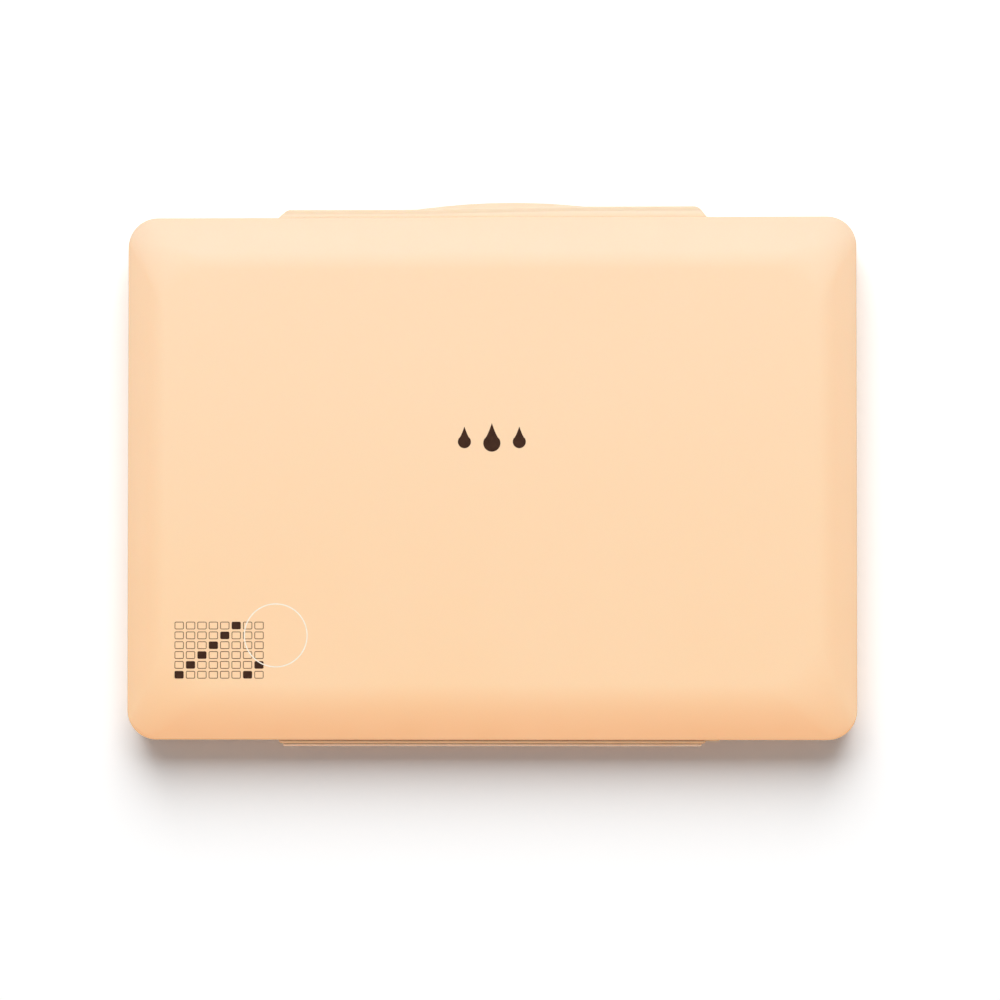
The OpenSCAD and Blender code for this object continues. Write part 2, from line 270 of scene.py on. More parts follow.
def shifted(part, dx, dy, dz=0.0):
    """A (points, faces) pair moved as a whole."""
    points, faces = part
    return [(x + dx, y + dy, z + dz) for x, y, z in points], faces


def corner_draw(s, r):
    """How far a bar's edge draws in at a distance s from its end, for a plan corner of radius r."""
    if s >= r:
        return 0.0
    return r - math.sqrt(max(r * r - (r - s) ** 2, 0))


def stations(x0, x1, r, dense=8, middle=24):
    """Places along a bar, closer together over its rounded ends."""
    ends = [r * rise for _, rise in quarter_turn(dense)]
    inside = [x0 + r + (x1 - x0 - 2 * r) * k / middle for k in range(1, middle)]
    return [x0 + e for e in ends] + inside + [x1 - e for e in ends[::-1]]


# ---------------------------------------------------------------- material helpers


class Nodes:
    """A material's node tree, with short calls for its usual nodes."""

    def __init__(self, name):
        self.material = bpy.data.materials.new(name)
        self.material.use_nodes = True
        self.tree = self.material.node_tree
        self.tree.nodes.clear()
        self.output = self.add("ShaderNodeOutputMaterial")
        self.place = self.add("ShaderNodeTexCoord").outputs["Object"]

    def add(self, kind, inputs=None, **settings):
        """A new node; each input is a value, or the socket that it is linked from."""
        node = self.tree.nodes.new(kind)
        for key, value in settings.items():
            setattr(node, key, value)
        for key, value in (inputs or {}).items():
            if isinstance(value, bpy.types.NodeSocket):
                self.tree.links.new(value, node.inputs[key])
            else:
                node.inputs[key].default_value = value
        return node

    def noise(self, scale, detail=2, roughness=0.5, distortion=0.0, place=None):
        inputs = {
            "Vector": place or self.place,
            "Scale": scale,
            "Detail": detail,
            "Roughness": roughness,
            "Distortion": distortion,
        }
        return self.add("ShaderNodeTexNoise", inputs).outputs["Fac"]

    def mapped(self, value, from_low, from_high, to_low, to_high):
        """A value carried over from one range to another, and held within it."""
        inputs = {
            "Value": value,
            "From Min": from_low,
            "From Max": from_high,
            "To Min": to_low,
            "To Max": to_high,
        }
        return self.add("ShaderNodeMapRange", inputs).outputs["Result"]

    def math(self, operation, a, b=0.0):
        node = self.add("ShaderNodeMath", {0: a, 1: b}, operation=operation)
        return node.outputs["Value"]

    def mix(self, share, a, b):
        inputs = {0: share, 6: a, 7: b}
        node = self.add("ShaderNodeMix", inputs, data_type="RGBA", blend_type="MIX")
        return node.outputs[2]

    def bump(self, height, strength, distance, normal=None):
        inputs = {"Height": height, "Strength": strength, "Distance": distance}
        if normal is not None:
            inputs["Normal"] = normal
        return self.add("ShaderNodeBump", inputs).outputs["Normal"]

    def principled(self, inputs):
        """Gives the material a Principled shader with these inputs, and returns the material."""
        node = self.add("ShaderNodeBsdfPrincipled", inputs)
        self.tree.links.new(node.outputs["BSDF"], self.output.inputs["Surface"])
        return self.material


def rgb(red, green, blue):
    """A linear colour from sRGB values of 0 to 255."""

    def linear(v):
        v /= 255
        return v / 12.92 if v <= 0.04045 else ((v + 0.055) / 1.055) ** 2.4

    return (linear(red), linear(green), linear(blue), 1.0)


# Linear colours of the case's plastic. The two ends of the top's painted gradient (lit at the clasp,
# shaded at the hinge), the deep painted-shade colour and the pale painted-light colour are painted light
# and shade; the cloud and speck colours are the plastic's own.
CASE_CLASP_END_PAINTED_LIT = (0.985, 0.705, 0.47, 1)
CASE_HINGE_END_PAINTED_SHADED = (0.985, 0.65, 0.385, 1)
CASE_CLOUD = (0.985, 0.685, 0.44, 1)
CASE_PAINTED_SHADE = (1.0, 0.505, 0.232, 1)
CASE_PAINTED_LIGHT = (0.985, 0.79, 0.60, 1)
CASE_SPECK = (0.86, 0.50, 0.27, 1)
CASE_GRAIN = 2600


def case_material():
    """Apricot polypropylene with a fine satin, a little cloudy, and with painted light and shade: painted
    shade deepens its colour where the walls turn towards the hinge and the sides and darkens its top
    towards the hinge, and painted light pales it where the walls turn towards the clasp and on the strip
    before the clasp's fold."""
    n = Nodes("case_plastic")
    normal = n.add("ShaderNodeSeparateXYZ", {0: n.add("ShaderNodeTexCoord").outputs["Normal"]})
    place = n.add("ShaderNodeSeparateXYZ", {0: n.place})
    # painted shade: deeper colour where the walls turn towards the hinge and the sides
    shade_to_hinge = n.mapped(normal.outputs["Y"], 0, -0.5, 0, 0.87)
    shade_to_side = n.mapped(n.math("ABSOLUTE", normal.outputs["X"]), 0.1, 0.4, 0, 0.2)
    painted_shade = n.math("MAXIMUM", shade_to_hinge, shade_to_side)
    # painted light too: paler on the thin level strip before the clasp's fold
    behind = n.mapped(place.outputs["Y"], HALF_D, HALF_D + 0.6 * MM, 0, 1)
    lit_strip = n.math("MULTIPLY", behind, n.mapped(normal.outputs["Z"], 0.7, 0.95, 0, 1))
    # painted light: paler where the walls turn towards the clasp
    painted_light = n.math("MAXIMUM", lit_strip, n.mapped(normal.outputs["Y"], 0.03, 0.24, 0, 0.5))
    # painted shade: the top's colour darkens from the clasp towards the hinge
    shade_along = n.mapped(place.outputs["Y"], 0.09, -0.09, 0, 1)
    cloud = n.mapped(n.noise(9, detail=3, roughness=0.55), 0.35, 0.65, 0, 0.4)
    shaded_flat = n.mix(shade_along, CASE_CLASP_END_PAINTED_LIT, CASE_HINGE_END_PAINTED_SHADED)
    shaded_flat = n.mix(cloud, shaded_flat, CASE_CLOUD)
    colour = n.mix(painted_light, n.mix(painted_shade, shaded_flat, CASE_PAINTED_SHADE), CASE_PAINTED_LIGHT)
    speck = n.mapped(n.noise(1700, detail=1), 0.45, 0.75, 0, 0.05)
    grain = n.noise(CASE_GRAIN, detail=2, roughness=0.6)
    soft = n.bump(n.noise(28, detail=1), 0.05, 0.0006)
    return n.principled(
        {
            "Base Color": n.mix(speck, colour, CASE_SPECK),
            "Roughness": n.mapped(n.noise(60, detail=3), 0.3, 0.7, 0.48, 0.57),
            "Normal": n.bump(grain, 0.14, 0.00006, soft),
            "Specular IOR Level": 0.4,
            "Subsurface Weight": 0.1,
            "Subsurface Radius": (1.0, 0.42, 0.2),
            "Subsurface Scale": 0.003,
        }
    )


def web_material(name, dark, light):
    """The same plastic where it is drawn thin and stressed along its bend."""
    n = Nodes(name)
    stretch = n.add("ShaderNodeMapping", {"Vector": n.place, "Scale": (1, 14, 14)}).outputs[0]
    streak = n.noise(160, detail=3, place=stretch)
    return n.principled(
        {
            "Base Color": n.mix(n.mapped(streak, 0.35, 0.7, 0, 0.5), dark, light),
            "Roughness": n.mapped(streak, 0.3, 0.7, 0.34, 0.46),
            "Normal": n.bump(streak, 0.12, 0.0001),
            "Subsurface Weight": 0.2,
            "Subsurface Radius": (1.0, 0.5, 0.28),
            "Subsurface Scale": 0.002,
        }
    )


def white_material(name, light, dark, rough, grain_scale, grain):
    """White moulded plastic with faint flow clouding and its own fineness of grain."""
    n = Nodes(name)
    cloud = n.noise(14, detail=4, roughness=0.6)
    fine = n.noise(grain_scale, detail=2)
    soft = n.bump(n.noise(40, detail=1), 0.05, 0.0005)
    return n.principled(
        {
            "Base Color": n.mix(n.mapped(cloud, 0.35, 0.65, 0, 1), light, dark),
            "Roughness": n.mapped(n.noise(90, detail=3), 0.3, 0.7, rough - 0.05, rough + 0.05),
            "Normal": n.bump(fine, grain, 0.00006, soft),
            "Subsurface Weight": 0.1,
            "Subsurface Radius": (0.9, 0.85, 0.8),
            "Subsurface Scale": 0.002,
        }
    )


def ink_material(name, light, dark, rough):
    """Screen-printed ink: slightly uneven in tone and gloss, on the case's grain."""
    n = Nodes(name)
    patch = n.noise(420, detail=3, roughness=0.6)
    return n.principled(
        {
            "Base Color": n.mix(n.mapped(patch, 0.35, 0.7, 0, 1), dark, light),
            "Roughness": n.mapped(patch, 0.3, 0.7, rough - 0.06, rough + 0.06),
            "Specular IOR Level": 0.15,
            "Normal": n.bump(n.noise(CASE_GRAIN, detail=2), 0.12, 0.00004),
        }
    )


def paint_material(name, colour):
    """Moist gouache: opaque, faintly streaked by stirring, with a soft wet gloss."""
    n = Nodes(name)
    deepen, fade = 0.82, 0.07
    deep = tuple(v * deepen for v in colour[:3]) + (1,)
    pale = tuple(v + (1 - v) * fade for v in colour[:3]) + (1,)
    swirl = n.noise(130, detail=4, roughness=0.55, distortion=1.6)
    settled = n.mix(n.mapped(swirl, 0.3, 0.55, 0, 1), deep, colour)
    fine = n.noise(1500, detail=3)
    return n.principled(
        {
            "Base Color": n.mix(n.mapped(swirl, 0.55, 0.78, 0, 1), settled, pale),
            "Roughness": n.mapped(swirl, 0.3, 0.7, 0.26, 0.42),
            "Specular IOR Level": 0.3,
            "Normal": n.bump(fine, 0.08, 0.0001, n.bump(swirl, 0.25, 0.0005)),
        }
    )


def film_material():
    """Clear sealing film: a thin gloss over what lies below, rumpled between its seals."""
    n = Nodes("clear_film")
    rumple = n.noise(95, detail=3, roughness=0.5, distortion=0.8)
    tint = n.mix(n.mapped(rumple, 0.3, 0.75, 0, 1), rgb(118, 124, 132), rgb(182, 187, 192))
    return n.principled(
        {
            "Base Color": tint,
            "Roughness": 0.1,
            "Specular IOR Level": 1.0,
            "Normal": n.bump(rumple, 0.5, 0.0012, n.bump(n.noise(420, detail=2), 0.2, 0.0002)),
            "Alpha": 0.055,
        }
    )


# ---------------------------------------------------------------- lid


def dome_rings(inset, lower, edge_steps=7, shoulder_steps=26):
    """Rings of the lid's domed skin from the top of its skirt to its flat top."""
    edge_r = max(EDGE_R - inset, 0.4 * MM)
    start = edge_r * (1 - math.cos(EDGE_TURN))
    shoulder_z = TOP_Z - lower - SHOULDER_DROP
    skirt_z = shoulder_z - edge_r * math.sin(EDGE_TURN)
    rings = []
    for k in range(edge_steps):
        a = EDGE_TURN * k / edge_steps
        i = inset + edge_r * (1 - math.cos(a))
        rings.append(outline_ring(i, skirt_z + edge_r * math.sin(a)))
    for k in range(shoulder_steps + 1):
        t = 1 - k / shoulder_steps
        in_x = inset + start + (SHOULDER_X - start) * (1 - t)
        in_y = inset + start + (SHOULDER_Y - start) * (1 - t)
        r = (CORNER_R - inset - start) * t + FLAT_R * (1 - t)
        z = shoulder_z + SHOULDER_DROP * (1 - t * t)
        rings.append(rounded_ring(HALF_W - in_x, HALF_D - in_y, r, z, OUTLINE_STEPS))
    return rings


def make_lid(plastic):
    """The lid's skin, from the inside of its top down over its rim and up to the outside."""
    soft = 0.35 * MM
    rim = arc((LID_WALL - soft, LID_RIM_Z + soft), soft, 0, -90, 3)
    rim += arc((soft, LID_RIM_Z + soft), soft, -90, -180, 3)
    rings = dome_rings(LID_WALL, LID_TOP_T)[::-1]
    rings += [outline_ring(inset, z) for inset, z in rim]
    rings += dome_rings(0, 0)
    add_piece("lid_cover", [stack(rings)], plastic, "lid", ["lid_shell"], sharp_deg=50)


def make_lid_clips(plastic):
    """Four small clips inside the lid's long walls that hold the palette's edge."""
    half, thick, bevel = 6 * MM, 0.5 * MM, 0.15 * MM
    reach, root = 1 * MM, 0.5 * MM  # out of the wall, and into it
    top = PALETTE_LOW.z - 0.1 * MM
    wall = HALF_D - LID_WALL
    parts = []
    for side in (-1, 1):
        y0, y1 = sorted((side * (wall - reach), side * (wall + root)))
        for x in (-HALF_W / 2, HALF_W / 2):
            parts.append(bevelled_box((x - half, y0, top - thick), (x + half, y1, top), bevel))
    add_piece("palette_clips", parts, plastic, "lid")


# ---------------------------------------------------------------- hinge


def flange(x0, x1, wall_y, end_y, profile, r):
    """A bar from a wall out to end_y, of a profile of (distance from the wall, z) points."""
    loops = []
    for x in stations(x0, x1, r):
        share = 1 - corner_draw(min(x - x0, x1 - x), r) / (wall_y - end_y)
        loops.append([(x, wall_y - out * share, z) for out, z in profile])
    return stack(loops)


def make_upper_flange(plastic):
    """The lid's flange: a gutter beside the wall, then a raised bead with a groove at the web."""
    wall_y = -HALF_D + FLANGE_ROOT
    reach = wall_y - HINGE_END_Y
    low, top = HINGE.z + RUN_GAP, HINGE.z + RUN_GAP + FLANGE_T
    gutter = FLANGE_ROOT + 0.36 * MM
    bead = reach - 0.35 * MM
    profile = [
        (0.0, low),
        (reach - 0.12 * MM, low),
        (reach, low + 0.12 * MM),
        (reach, top - 0.8 * MM),
        (bead, top - 0.9 * MM),
        (bead - 0.04 * MM, top - 0.4 * MM),
        (bead - 0.14 * MM, top - 0.12 * MM),
        (bead - 0.3 * MM, top),
        (gutter + 0.24 * MM, top),
        (gutter + 0.08 * MM, top - 0.08 * MM),
        (gutter, top - 0.3 * MM),
        (gutter - 0.1 * MM, top - 0.38 * MM),
        (0.0, top - 0.38 * MM),
    ]
    bar = flange(HINGE_X0, HINGE_X1, wall_y, HINGE_END_Y, profile, FLANGE_R)
    add_piece("hinge_flange_upper", [bar], plastic, "lid")


def make_lower_flange(plastic):
    """The base's flange, and the short tongue of flash that runs on past its right end."""
    wall_y = -HALF_D + BASE_INSET + FLANGE_ROOT
    reach = wall_y - HINGE_END_Y
    high, low = HINGE.z - RUN_GAP, HINGE.z - RUN_GAP - FLANGE_T
    profile = [
        (0.0, low),
        (reach - 0.6 * MM, low),
        (reach - 0.2 * MM, low + 0.12 * MM),
        (reach, low + 0.45 * MM),
        (reach, high - 0.12 * MM),
        (reach - 0.15 * MM, high),
        (0.0, high),
    ]
    bar = flange(HINGE_X0, HINGE_X1, wall_y, HINGE_END_Y, profile, FLANGE_R)
    flash_low, flash_reach = high - 0.7 * MM, FLANGE_ROOT + 1.3 * MM
    flash_profile = [
        (0.0, flash_low),
        (flash_reach - 0.2 * MM, flash_low),
        (flash_reach, flash_low + 0.2 * MM),
        (flash_reach - 0.1 * MM, high),
        (0.0, high),
    ]
    x0, x1 = HINGE_X1 - 1 * MM, HINGE_X1 + 5.8 * MM
    flash = flange(x0, x1, wall_y, wall_y - flash_reach, flash_profile, 0.8 * MM)
    add_piece("hinge_flange_lower", [bar, flash], plastic, "base")


def make_hinge_bend(thin):
    """The bent web, from the lower flange round to the upper one, a little flattened outwards."""
    outer_r = HINGE_WEB_HIGH.z - HINGE.z
    inner_r = outer_r - WEB_T
    turn_steps, squash, end_r = 18, 0.3 * MM, 0.8 * MM
    edge = HINGE_END_Y - HINGE.y

    def half_turn(r):
        angles = [math.pi * k / turn_steps for k in range(turn_steps + 1)]
        return [((squash - r) * math.sin(a), -r * math.cos(a)) for a in angles]

    # the web's section about the hinge's axis: its outer face, then its inner face back
    section = [(edge, -outer_r)] + half_turn(outer_r) + [(edge, outer_r)]
    section += [(edge, inner_r)] + half_turn(inner_r)[::-1] + [(edge, -inner_r)]
    loops = []
    for x in stations(HINGE_WEB_LOW.x, HINGE_WEB_HIGH.x, end_r, 5, 40):
        # the web's ends draw in towards the axis
        draw = corner_draw(min(x - HINGE_WEB_LOW.x, HINGE_WEB_HIGH.x - x), end_r) / end_r
        across, up = 1 - 0.5 * draw, 1 - 0.15 * draw
        loops.append([(x, HINGE.y + dy * across, HINGE.z + dz * up) for dy, dz in section])
    web = add_piece("hinge_bend", [stack(loops)], thin, None, ["hinge_web"], sharp_deg=50)
    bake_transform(web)


# ---------------------------------------------------------------- clasp


def clasp_x(u, y):
    """Place along X of the share u of the clasp's half width, which narrows outwards."""
    draw = CLASP_DRAW_LEFT if u < 0 else CLASP_DRAW_RIGHT
    return u * (CLASP_HALF - draw * max(y - HALF_D, 0) / CLASP_REACH)


def clasp_out(u):
    """Where the clasp's outer face stands at the share u of its half width."""
    x = u * CLASP_HALF
    wing = WING_LEFT + (WING_RIGHT - WING_LEFT) * smooth(0.5 + x / (2 * WING_TURN))
    corner = 1.0 * MM if u < 0 else 1.4 * MM
    return CLASP_OUT + wing - corner_draw((1 - abs(u)) * CLASP_HALF, corner)


def clasp_bar(section):
    """A bar along the clasp, of a section(u) of (y, z) points at each share u of its half width."""
    shares = stations(-1, 1, 2.5 * MM / CLASP_HALF, 8, 120)
    return stack([[(clasp_x(u, y), y, z) for y, z in section(u)] for u in shares])


def clasp_flange_section(u):
    """The lid's flange, with a shallow gutter beside the lid's wall."""
    low, wall_y = CLASP_TOP - FLANGE_T, HALF_D - FLANGE_ROOT
    end = clasp_out(u) - FLAP_T - RUN_GAP
    bead = HALF_D + 0.75 * MM
    gutter_z = CLASP_TOP - 0.12 * MM
    return [
        (wall_y, low),
        (end, low),
        (end, CLASP_TOP - 0.1 * MM),
        (end - 0.15 * MM, CLASP_TOP),
        (bead + 0.3 * MM, CLASP_TOP),
        (bead, CLASP_TOP - 0.04 * MM),
        (bead - 0.25 * MM, gutter_z),
        (wall_y, gutter_z),
    ]


def clasp_fold_section(u):
    """The thin fold from that flange over to the flap."""
    out = clasp_out(u)
    start = out - FLAP_T - RUN_GAP - 0.1 * MM
    end_z = FLAP_TOP - 0.15 * MM
    bend_r = 0.5 * MM
    outside = arc((out - bend_r, CLASP_TOP - bend_r), bend_r, 90, 0, 8)
    under = [(out - WEB_T, end_z), (out - WEB_T, CLASP_TOP - WEB_T), (start, CLASP_TOP - WEB_T)]
    return [(start, CLASP_TOP)] + outside + [(out, end_z)] + under


def lip_beyond(u):
    """How far the lip's arc stands beyond the flap's face, eased where the two meet."""
    away = abs(clasp_x(u, CLASP_OUT) - LIP_X)
    if away >= 1.4 * LIP_HALF:
        return 0.0
    ease = 0.3 * MM
    d = CLASP_OUT + LIP_BOW - LIP_R + math.sqrt(LIP_R**2 - away**2) - clasp_out(u)
    return max((d + math.sqrt(d * d + ease * ease)) / 2 - ease / 2 * smooth(-d / ease), 0.0)


def flap_section(u):
    """The flap's outer face downwards, swelling out into the lip, then its inner face back up."""
    rows, soft = 18, 0.35 * MM
    bottom, height = FLAP_LOW.z, FLAP_TOP - FLAP_LOW.z
    out, beyond = clasp_out(u), lip_beyond(u)
    outer_ends = {0: 0.6, 1: 0.1, rows - 1: 0.1, rows: 0.5}
    inner_ends = {0: 0.5, rows: 0.5}
    loop = []
    for k in range(rows + 1):
        z = FLAP_TOP - height * k / rows
        swell = smooth((bottom + 8.5 * MM - z) / (7 * MM))
        loop.append((out + beyond * swell - soft * outer_ends.get(k, 0), z))
    for k in range(rows + 1):
        z = bottom + height * k / rows
        swell = 0.75 * smooth((bottom + 7.5 * MM - z) / (7.5 * MM))
        loop.append((out - FLAP_T + beyond * swell + soft * inner_ends.get(k, 0), z))
    return loop


def make_clasp(plastic, thin):
    """The flange on the lid, the fold, the flap and the ridge that snaps under the catch."""
    add_piece("clasp_flange", [clasp_bar(clasp_flange_section)], plastic, "lid")
    fold = [clasp_bar(clasp_fold_section)]
    web = add_piece("clasp_bend", fold, thin, None, ["clasp_web"], sharp_deg=50)
    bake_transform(web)
    flap = [clasp_bar(flap_section)]
    add_piece("clasp_flap_cover", flap, plastic, "clasp", ["clasp_flap"], sharp_deg=50)
    into_flap = Vector((0, 0.5 * MM, 0))
    ridge = bevelled_box(RIDGE_LOW, RIDGE_HIGH + into_flap, 0.3 * MM, 3)
    add_piece("snap_ridge", [ridge], plastic, "clasp", ["clasp_ridge"])


# ---------------------------------------------------------------- base


def make_base(plastic):
    """The base's skin, from its underside over the rim and tongue down to its floor."""
    foot, foot_r, lift = 15 * MM, 3 * MM, 0.5 * MM
    soft, fillet = 0.3 * MM, 1.2 * MM
    tongue_in = BASE_INSET + BASE_WALL
    tongue_out = tongue_in - TONGUE_T
    # the underside's middle is raised a little, so that the box stands on its border
    panel = [(1.2 * MM, lift), (0.8 * MM, lift - 0.1 * MM), (0.2 * MM, 0.06 * MM), (0, 0)]
    rings = [outline_ring(foot + further, z, foot_r) for further, z in panel]
    # bottom edge, outer wall and rim
    path = [(BASE_INSET + BOTTOM_R * fall, BOTTOM_R * rise) for fall, rise in quarter_turn(10)]
    path += arc((BASE_INSET + soft, BASE_RIM_Z - soft), soft, 180, 90, 3)
    # tongue
    path += [(tongue_out - 0.1 * MM, BASE_RIM_Z), (tongue_out, BASE_RIM_Z + 0.1 * MM)]
    path += arc((tongue_out + soft, BASE_HIGH.z - soft), soft, 180, 90, 3)
    path += arc((tongue_in - soft, BASE_HIGH.z - soft), soft, 90, 0, 3)
    # inner wall down to the floor
    path += arc((tongue_in + fillet, FLOOR_T + fillet), fillet, 180, 270, 5)
    rings += [outline_ring(inset, z) for inset, z in path]
    add_piece("base_case", [stack(rings)], plastic, "base", ["base_shell"], sharp_deg=50)


def make_catch(plastic):
    """The catch on the base's back wall, with a lead-in slope on top."""
    half, height, root = 30 * MM, 1.8 * MM, 0.5 * MM
    wall_y = HALF_D - BASE_INSET
    tip_y = CLASP_OUT - FLAP_T - RUN_GAP
    low = RIDGE_HIGH.z + 0.5 * MM
    middle = low + height / 2
    section = [
        (wall_y - root, low),
        (tip_y - 0.2 * MM, low),
        (tip_y, low + 0.2 * MM),
        (tip_y, low + 0.8 * MM),
        (tip_y - 0.25 * MM, low + 1.2 * MM),
        (wall_y + 0.25 * MM, low + height),
        (wall_y - root, low + height),
    ]
    # (distance from an end, share that the section shrinks there)
    ends = [(0, 0.6), (0.5 * MM, 0.2), (1.2 * MM, 0)]
    places = [(s - half, shrink) for s, shrink in ends]
    places += [(half - s, shrink) for s, shrink in ends[::-1]]
    loops = []
    for x, shrink in places:
        out, up = 1 - shrink, 1 - 0.3 * shrink
        loops.append([(x, wall_y + (y - wall_y) * out, middle + (z - middle) * up) for y, z in section])
    add_piece("clasp_catch", [stack(loops)], plastic, "base")


# ---------------------------------------------------------------- cups, paint and film


def cup_places():
    """(number, centre, half size) of every cup, row by row from the back left."""
    for number in range(1, CUP_ROWS * CUP_COLS + 1):
        low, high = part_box(f"cup_{number:02d}")
        yield number, (low + high) / 2, (high - low) / 2


def cup_part(half):
    """A cup about the origin: tapered body, flat rim with a rolled edge, hollow inside."""
    body, body_r, rim_r = 1.85 * MM, 4 * MM, 5 * MM  # the body's inset below the rim
    rim_t, wall, draft = 1.0 * MM, 0.9 * MM, 0.6 * MM
    edge, soft, mouth_r, fillet = 1.0 * MM, 0.3 * MM, 0.35 * MM, 1.2 * MM
    mouth = wall - 0.3 * MM  # the mouth's inset within the body
    low, high = -half.z, half.z
    rim_low = high - rim_t
    # (inset from the rim's outline, corner radius, height) of each ring
    path = []
    for fall, rise in quarter_turn(4):
        i = draft + edge * fall
        path.append((body + i, body_r - i, low + edge * rise))
    path.append((body + 0.05 * MM, body_r, rim_low - 0.3 * MM))
    path.append((body - 0.2 * MM, body_r + 0.2 * MM, rim_low))
    rim = arc((-soft, rim_low + soft), soft, -90, 0, 3) + arc((-soft, high - soft), soft, 0, 90, 3)
    path += [(-shade_along, rim_r + shade_along, z) for shade_along, z in rim]
    mouth_arc = arc((mouth_r - mouth, high - mouth_r), mouth_r, 90, 180, 3)
    path += [(body - shade_along, body_r + shade_along, z) for shade_along, z in mouth_arc]
    for fall, rise in quarter_turn(4):
        i = wall + draft + fillet * rise
        path.append((body + i, max(body_r - i, 1 * MM), low + wall + fillet * fall))
    return stack([rounded_ring(half.x - i, half.y - i, r, z, CUP_STEPS) for i, r, z in path])


def make_cups(plastic):
    """Every cup, in the place of its node."""
    for number, centre, half in cup_places():
        part = shifted(cup_part(half), centre.x, centre.y, centre.z)
        node = f"cup_{number:02d}"
        add_piece(f"paint_{node}", [part], plastic, "base", [node])


# Forty-eight gouache colours, row by row from the back left, as sRGB.
PAINTS = [
    ("titanium_white", 246, 246, 242), ("ivory", 245, 233, 205),
    ("naples_yellow", 247, 217, 150), ("lemon_yellow", 250, 228, 60),
    ("medium_yellow", 252, 200, 28), ("deep_yellow", 250, 168, 24),
    ("yellow_orange", 246, 138, 30), ("orange", 238, 104, 32),
    ("flesh", 248, 203, 173), ("salmon", 244, 150, 120),
    ("coral", 238, 104, 88), ("vermilion", 224, 62, 36),
    ("scarlet", 206, 34, 38), ("crimson", 172, 22, 44),
    ("carmine", 140, 20, 48), ("wine_red", 96, 20, 40),
    ("pale_pink", 248, 196, 206), ("rose", 232, 92, 134),
    ("magenta", 196, 38, 110), ("plum", 122, 34, 92),
    ("lilac", 190, 160, 214), ("violet", 104, 62, 154),
    ("deep_violet", 62, 36, 104), ("indigo", 34, 40, 84),
    ("pale_blue", 178, 212, 236), ("sky_blue", 96, 172, 222),
    ("cerulean", 28, 130, 194), ("cobalt_blue", 24, 82, 168),
    ("ultramarine", 32, 46, 148), ("prussian_blue", 18, 44, 88),
    ("turquoise", 22, 152, 160), ("peacock", 12, 104, 118),
    ("mint", 168, 220, 190), ("yellow_green", 160, 200, 60),
    ("leaf_green", 84, 162, 60), ("emerald", 20, 140, 90),
    ("viridian", 12, 98, 78), ("olive", 110, 116, 44),
    ("sap_green", 58, 92, 40), ("deep_green", 22, 60, 46),
    ("sand", 222, 194, 148), ("yellow_ochre", 204, 146, 58),
    ("raw_sienna", 172, 108, 48), ("burnt_sienna", 142, 66, 34),
    ("burnt_umber", 86, 50, 34), ("light_grey", 178, 180, 180),
    ("dark_grey", 92, 96, 98), ("black", 26, 26, 28),
]


def paint_part(hx, hy, number):
    """A fill of paint: a meniscus up the cup's wall and a top left uneven by filling."""
    radius, bottom_r, climb, inward = 3.1 * MM, 1.2 * MM, 0.35 * MM, 12
    edge_z = PAINT_HIGH.z - 0.25 * MM
    rings = []
    for fall, rise in quarter_turn(3):
        i = bottom_r * fall
        rings.append(rounded_ring(hx - i, hy - i, radius, PAINT_LOW.z + bottom_r * rise, CUP_STEPS))
    phase = number * 2.399  # the golden angle, so that neighbouring fills differ
    peak_x, peak_y = 0.35 * hx * math.cos(phase), 0.35 * hy * math.sin(phase)
    for k in range(inward + 1):
        t = k / inward
        ring = []
        for x, y, _ in shrunk_ring(hx, hy, radius, 1 - t):
            far = math.hypot((x - peak_x) / hx, (y - peak_y) / hy)
            swell = 0.22 * MM * math.exp(-6 * far * far)
            ripple = 0.06 * MM * math.sin(9 * far + phase) * math.sqrt(t)
            ring.append((x, y, edge_z + climb * math.exp(-14 * t) + (swell + ripple) * min(4 * t, 1)))
        rings.append(ring)
    return stack(rings)


def make_paints():
    """Every fill of paint, each in its own colour."""
    inner = 2.75 * MM  # inset from the cup's rim
    for (number, centre, half), (name, *colour) in zip(cup_places(), PAINTS):
        part = shifted(paint_part(half.x - inner, half.y - inner, number), centre.x, centre.y)
        paint = paint_material(f"gouache_{name}", rgb(*colour))
        piece = f"paint_{number:02d}_{name}"
        add_piece(piece, [part], paint, "base", ["paint_fills"], sharp_deg=60)


def film_part(hx, hy, number):
    """A film sealed flat round the rim, drawn down a little and rumpled in the middle."""
    low, thick, radius, inward = FILM_LOW.z + 0.01 * MM, 0.12 * MM, 4.8 * MM, 14
    sealed, easing = 0.14, 0.3  # shares of the way in: the seal, and where the film comes free
    phase = number * 1.7
    rumple_x, rumple_y = 900, 760  # radians a metre
    lower, upper = [], []
    for k in range(inward + 1):
        t = k / inward
        free = min(max((t - sealed) / easing, 0), 1)
        ring = []
        for x, y, _ in shrunk_ring(hx, hy, radius, 1 - t):
            wave = math.sin(rumple_x * x + phase) * math.cos(rumple_y * y - phase)
            ring.append((x, y, low - 0.35 * MM * smooth(free) + 0.14 * MM * free * wave))
        lower.append(ring)
        upper.append([(x, y, z + thick) for x, y, z in ring])
    return stack(lower[::-1] + upper)


def make_films(clear):
    """The films over all the cups, as one piece."""
    margin = 0.2 * MM  # inset from the cup's rim
    parts = []
    for number, centre, half in cup_places():
        part = film_part(half.x - margin, half.y - margin, number)
        parts.append(shifted(part, centre.x, centre.y))
    add_piece("sealing_films", parts, clear, "base", ["seal_films"], sharp_deg=60)


# ---------------------------------------------------------------- palette


WELL_SPAN = 293.5 * MM
SMALL_WELLS, SMALL_W, SMALL_D, SMALL_Y = 8, 33 * MM, 28 * MM, 85 * MM
LARGE_WELLS, LARGE_D, LARGE_GAP = 3, 81 * MM, 5 * MM
LARGE_YS = (-59.5 * MM, 26.5 * MM)


